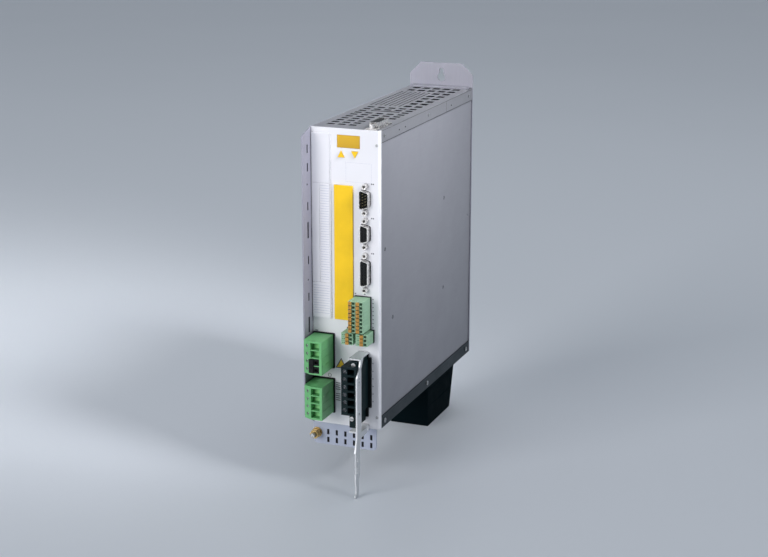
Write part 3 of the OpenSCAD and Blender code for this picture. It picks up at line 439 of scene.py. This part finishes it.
def dress(node, edge=None, look=None):
    """Gives a CAD node its slot's material and a broken edge."""
    obj = NODES[node]
    slot = next(s["material_slot"] for s in frame["record"]["subparts"] if s["node"] == node)
    obj.data.materials.clear()
    obj.data.materials.append(look or LOOKS[slot])
    for polygon in obj.data.polygons:
        polygon.material_index = 0
    if edge:
        weld = obj.modifiers.new("weld", "WELD")
        weld.merge_threshold = SAME_POINT
        rounded(obj, edge)


def added(obj):
    """Puts a new object into the scene."""
    bpy.context.scene.collection.objects.link(obj)
    return obj


def prisms(name, outlines):
    """One mesh of closed prisms: each is (points, step), the points lifted by the step, in mm."""
    shape = bmesh.new()
    for points, step in outlines:
        low = [shape.verts.new(at(*p)) for p in points]
        high = [shape.verts.new(at(*(Vector(p) + Vector(step)))) for p in points]
        shape.faces.new(low)
        shape.faces.new(high[::-1])
        for i in range(len(points)):
            j = (i + 1) % len(points)
            shape.faces.new((low[j], low[i], high[i], high[j]))
    bmesh.ops.recalc_face_normals(shape, faces=shape.faces)
    mesh = bpy.data.meshes.new(name)
    shape.to_mesh(mesh)
    shape.free()
    return added(bpy.data.objects.new(name, mesh))


def bar(x0, x1, z0, z1, sheet=0.0):
    """The outline and step of a printed bar on a sheet that faces the front."""
    y0, y1 = sheet - INK_T, sheet + SUNK
    return [(x0, y0, z0), (x1, y0, z0), (x1, y0, z1), (x0, y0, z1)], (0, y1 - y0, 0)


def ring(x, z, outer, inner, y0, y1, steps):
    """Outlines and steps of a flat ring on the front, one for each short piece of its arc."""
    parts = []
    for i in range(steps):
        a, b = (math.tau * (i + d) / steps for d in (0, 1))
        corners = ((outer, a), (outer, b), (inner, b), (inner, a))
        parts.append(([(x + r * math.cos(q), y0, z + r * math.sin(q)) for r, q in corners],
                      (0, y1 - y0, 0)))
    return parts


# ---------------------------------------------------------------- CAD nodes

EDGES = {           # mm, radius of the broken edge, and the nodes that have it
    0.1: ("display_window", "port_a_shell", "port_b_shell", "port_c_shell", "top_port_shell"),
    0.15: ("signal_levers_left", "signal_levers_right", "relay_levers_left", "relay_levers_right",
           "supply_clamps", "link_clamps", "motor_clamps", "motor_flange_screws", "case_screws",
           "signal_plug_left", "signal_plug_right", "relay_plug_left", "relay_plug_right"),
    0.2: ("button_up", "button_down", "slot_cover", "signal_header", "relay_header",
          "supply_header", "link_header", "motor_header", "jack_posts", "ground_nuts"),
    0.25: ("option_cover", "supply_plug", "link_plug", "supply_bridge", "motor_plug",
           "shield_bracket", "shield_rail", "ground_stud"),
    0.8: ("support_foot",),
}
OTHER_LOOKS = {"top_cover": TOP_SHEET, "bottom_plate": SHADED_LOW_SHEET, "back_plate": BACK_SHEET,
               "left_side": SIDE_SHEET, "shield_rail": RAIL_SHEET, "motor_clamps": DARK_GLINT_SCREW}


def dress_nodes():
    """Gives every CAD node its look."""
    widths = {node: width for width, nodes in EDGES.items() for node in nodes}
    for node in NODES:
        dress(node, widths.get(node), OTHER_LOOKS.get(node))


# ---------------------------------------------------------------- printing on the front

RULE_PITCH, RULE_W = 2.45, 0.22     # mm, spacing and thickness of ruled lines
POLE = 7.62         # mm, pitch of the power plugs


def rules(x0, x1, top, count, sheet):
    """A column of ruled lines, from the top one down."""
    return [bar(x0, x1, top - RULE_PITCH * i, top - RULE_PITCH * i + RULE_W, sheet) for i in range(count)]


def ruled_lines():
    """The ruled label field on the slot cover, and the wider lines below it."""
    low, high = local("slot_cover")
    right = high.x - 1.9
    rows = rules(low.x + 9.0, right, high.z - 50.0, 38, low.y)
    rows += rules(low.x + 1.4, right, low.z + 31.5, 12, low.y)
    own(prisms("slot_ruling", rows), "case", "panel_white", FAINT_INK)


def dotted_field():
    """A faint dotted rectangle below the display, where a label may go."""
    x0, x1, z0, z1 = 36.2, 61.8, 240.6, 258.8
    across, up = 16, 12
    long, thin = 0.35, 0.1
    marks = []
    for i in range(across + 1):
        x = x0 + (x1 - x0) * i / across
        marks += [bar(x - long, x + long, z - thin, z + thin) for z in (z0, z1)]
    for i in range(1, up):
        z = z0 + (z1 - z0) * i / up
        marks += [bar(x - thin, x + thin, z - long, z + long) for x in (x0, x1)]
    own(prisms("label_field", marks), "case", "panel_white", FAINT_INK)


def port_ticks(node):
    """Two small ticks to the upper right of a port."""
    high = local(node)[1]
    z = high.z - 1.0
    return [bar(high.x - 0.9 + d, high.x + 0.3 + d, z, z + 1.1) for d in (0, 1.7)]


def signal_ticks():
    """One tick beside each pole of the signal header, and two above its halves."""
    low, high = local("signal_header")
    poles = 8
    pitch = (high.z - low.z) / poles
    beside = [bar(high.x + 1.2, high.x + 2.2, low.z + pitch * (i + 0.3), low.z + pitch * (i + 0.5))
              for i in range(poles)]
    return beside + [bar(x, x + 1.5, high.z + 1.4, high.z + 2.2) for x in (low.x - 0.5, low.x + 9)]


def motor_ticks():
    """One tick beside each pole of the motor header."""
    low, high = local("motor_header")
    first, tick = low.z + 15, 0.9
    return [bar(high.x + 1.0, high.x + 1.8, first + POLE * i, first + tick + POLE * i) for i in range(6)]


def power_ticks():
    """One tick above each power header, and two blocks of lines to the right of the lower one."""
    marks = []
    for node in ("supply_header", "link_header"):
        low, high = local(node)
        marks.append(bar(low.x + 1.5, low.x + 4.5, high.z + 0.7, high.z + 1.5))
    line_pitch, line = 2.1, 0.8
    for z0 in (24.5, 35.5):
        marks += [bar(24.4, 29.2, z0 + line_pitch * i, z0 + line + line_pitch * i) for i in range(4)]
    return marks


def earth_mark():
    """A plain ring with a bar, between the power headers."""
    x, z = 18.2, 49.2
    return ring(x, z, 1.9, 1.5, -INK_T, SUNK, 32) + [bar(x - 1.0, x + 1.0, z - 0.2, z + 0.15)]


def front_ticks():
    """Small plain marks beside the ports, headers and terminals, in place of lettering."""
    marks = []
    for node in ("port_a_shell", "port_b_shell", "port_c_shell"):
        marks += port_ticks(node)
    marks += signal_ticks() + motor_ticks() + power_ticks() + earth_mark()
    own(prisms("front_marks", marks), "case", "black_plastic", INK)


def triangle(x, z, width, height, rim, y):
    """The outline of an upright triangle, drawn in by a rim on all sides."""
    slant = 1.7 * rim
    left, right = x - width / 2 + slant, x + width / 2 - slant
    return [(left, y, z - height / 2 + rim), (right, y, z - height / 2 + rim),
            (x, y, z + height / 2 - 2.0 * rim)]


def caution_sign():
    """A plain yellow triangle with a dark border."""
    place = (30.2, 62.7, 11.8, 10.4)
    outer = triangle(*place, 0.0, -INK_T)
    inner = triangle(*place, 0.9, -0.10)
    border = own(prisms("sign_border", [(outer, (0, INK_T + SUNK, 0))]), "case", "black_plastic", INK)
    face = own(prisms("sign_face", [(inner, (0, 0.06, 0))]), "case", "yellow_plastic", SIGN_YELLOW)
    for piece in (border, face):
        rounded(piece, 0.02, 1)


# ---------------------------------------------------------------- sheet details and painted shade

def flange_painted_shadow():
    """Painted shadow: a near-black sheet behind the slots of the side flange, for the shade seen through
    them.
    """
    front = local("left_side")[0].y
    x, y0, y1 = 0.25, front + 6.0, front + 16.0
    low, shoulder, top = 92, 276, 280
    strip = [(x, y0, low), (x, y1, low), (x, y1, shoulder), (x, y1 - 2, top), (x, y0 + 2, top),
             (x, y0, shoulder)]
    own(prisms("flange_shadow_sheet", [(strip, (0.35, 0, 0))]), "case", "black_plastic", SHADOW)


def rail_painted_shadow():
    """Painted shadow: a near-black strip behind the slots of the shield rail, for the shade seen through
    them.
    """
    low, high = local("shield_rail")
    left, right, top = 12, high.x - 3, -2.2
    y = 1.55
    outline = [(left, y, low.z + 2), (left + 2, y, low.z + 1), (right - 2, y, low.z + 1),
               (right, y, low.z + 3), (right, y, top), (left, y, top)]
    own(prisms("rail_shadow_sheet", [(outline, (0, 0.6, 0))]), "case", "black_plastic", SHADOW)


def band_seam_and_shadows():
    """The butt joint of the top cover's turned-down edge as a dark line, with a painted shadow line below
    the band and a line of painted shade along its fold above.
    """
    low, high = local("top_cover")
    x = high.x - SUNK
    front, back, joint = 1.0, 263.0, 181.7
    # the joint, then the painted shadow under the band's lower edge, then the painted shade in its fold
    lines = ((joint, joint + 0.4, low.z + 0.3, high.z - 0.6), (front, back, low.z + 0.05, low.z + 0.5),
             (front, back, high.z - 0.8, high.z - 0.45))
    seam_and_shade_strips = [([(x, y0, z0), (x, y1, z0), (x, y1, z1), (x, y0, z1)], (STRIP_T, 0, 0))
             for y0, y1, z0, z1 in lines]
    own(prisms("band_seam_and_shadows", seam_and_shade_strips), "case", "zinc_sheet", SHADOW)


def press_mark_shade_rings():
    """Painted shade: dark rings for the shaded rims of the round press marks on the right cover."""
    x = local("right_cover")[1].x - SUNK
    shade_rings = []
    for y, z in ((16, 175), (36, 103), (180, 190), (180, 95)):
        for outline, step in ring(y, z, 1.9, 1.25, x, x + STRIP_T, 24):
            shade_rings.append(([(p[1], p[0], p[2]) for p in outline], (step[1], 0, 0)))
    own(prisms("press_mark_shade_rings", shade_rings), "case", "zinc_sheet", PRESS_SHADE)


# ---------------------------------------------------------------- plug details

def window_blocks(name, node, body, poles):
    """Sloped clamp block at the back of each open wire window, in a paler green that is painted light."""
    low, high = local(node)
    middle = (low.z + high.z) / 2
    left, width = low.x + 8.5, 8.3
    front, back = low.y + 6.5, low.y + 10.9
    parts = []
    for i in poles:
        z = middle + (i - 2) * POLE
        foot, top = z + 0.6, z + 7.0
        side = [(left, front, foot), (left, back, foot), (left, back, top), (left, back - 1.5, top),
                (left, front + 0.9, z + 4.2)]
        parts.append((side, (width, 0, 0)))
    own(rounded(prisms(name, parts), 0.25), body, "power_green", LIT_CLAMP_GREEN)


def pole_marks(name, node, body):
    """Short raised bar beside each clamp screw on the slanted face."""
    low, high = local(node)
    middle = (low.z + high.z) / 2
    along = Vector((8, -4, 0)).normalized()
    out = Vector((-4, -8, 0)).normalized()
    width, up = along * 0.8, Vector((0, 0, 1.5))
    parts = []
    for i in range(4):
        start = Vector((low.x, low.y + 4, middle + (i - 1.5) * POLE)) + along * 7.1 - out * 0.1
        points = [start - up, start + width - up, start + width + up, start + up]
        parts.append(([tuple(p) for p in points], tuple(out * 0.3)))
    own(rounded(prisms(name, parts), 0.08, 1), body, "power_green")


dress_nodes()
ruled_lines()
dotted_field()
front_ticks()
caution_sign()
flange_painted_shadow()
rail_painted_shadow()
band_seam_and_shadows()
press_mark_shade_rings()
window_blocks("supply_blocks", "supply_plug", "supply_plug_body", (2, 3))
window_blocks("link_blocks", "link_plug", "link_plug_body", (0, 1, 2, 3))
pole_marks("supply_marks", "supply_plug", "supply_plug_body")
pole_marks("link_marks", "link_plug", "link_plug_body")


# ---------------------------------------------------------------- camera, lights, floor

AZIMUTH, ELEVATION = math.radians(21.61), math.radians(15.5)
LENS_MM = 78.8
SENSOR_MM = 36
DISTANCE = 1.75         # m, from the camera to the point that it looks at
FLOOR_HALF = 9.0        # m
OVER_THE_CASE = 38      # degrees, how wide the narrow side lamp shines
STUDIO_AIR, STUDIO_GLOW = (0.64, 0.69, 0.76, 1), 0.5


def make_camera():
    """Looks at the case from its front right and above, with no shift."""
    back = Vector((math.sin(AZIMUTH) * math.cos(ELEVATION), -math.cos(AZIMUTH) * math.cos(ELEVATION),
                   math.sin(ELEVATION)))
    aim = at(10, 162, 102.8)
    data = bpy.data.cameras.new("camera")
    data.lens = LENS_MM
    data.sensor_width = SENSOR_MM
    camera = added(bpy.data.objects.new("camera", data))
    camera.location = aim + back * DISTANCE
    camera.rotation_mode = "QUATERNION"
    camera.rotation_quaternion = (-back).to_track_quat("-Z", "Y")
    bpy.context.scene.camera = camera


def soft_light(name, place, aim, size, power, colour, spread=180):
    """A rectangular lamp that points at its aim; power in W, spread in degrees."""
    data = bpy.data.lights.new(name, "AREA")
    data.shape = "RECTANGLE"
    data.size, data.size_y = size
    data.energy = power
    data.color = colour
    data.spread = math.radians(spread)
    lamp = added(bpy.data.objects.new(name, data))
    lamp.location = place
    lamp.rotation_mode = "QUATERNION"
    lamp.rotation_quaternion = (Vector(aim) - Vector(place)).to_track_quat("-Z", "Y")


def make_studio():
    """A large key from the front left, a narrow lamp on the right side, and weak fills."""
    soft_light("key", (-1.9, -4.2, 1.5), (0, -0.15, 0.1), (2.4, 2.4), 115, (1.0, 0.985, 0.985))
    soft_light("side", (0.62, -0.34, 0.82), (0.03, -0.18, 0.42), (0.4, 0.4), 1.1, (0.98, 0.975, 1.0),
               OVER_THE_CASE)
    soft_light("fill", (2.6, -1.6, 0.5), (0, -0.2, 0.1), (1.2, 1.2), 0.2, (0.97, 0.98, 1.0))
    soft_light("top", (0.2, 0.9, 2.4), (0, -0.1, 0.2), (1.8, 1.2), 8, (0.97, 0.98, 1.0))
    world = bpy.data.worlds.new("studio")
    bpy.context.scene.world = world
    world.use_nodes = True
    air = world.node_tree.nodes["Background"]
    air.inputs["Color"].default_value = STUDIO_AIR
    air.inputs["Strength"].default_value = STUDIO_GLOW
    bpy.context.scene.view_settings.view_transform = "Standard"


def make_floor():
    """A plain square floor under the support foot."""
    mesh = bpy.data.meshes.new("floor")
    corners = [(x * FLOOR_HALF, y * FLOOR_HALF, FLOOR_Z) for x, y in ((-1, -1), (1, -1), (1, 1), (-1, 1))]
    mesh.from_pydata(corners, [], [(0, 1, 2, 3)])
    floor = added(bpy.data.objects.new("floor", mesh))
    mesh.materials.append(floor_coat("floor_coat"))


make_camera()
make_studio()
make_floor()
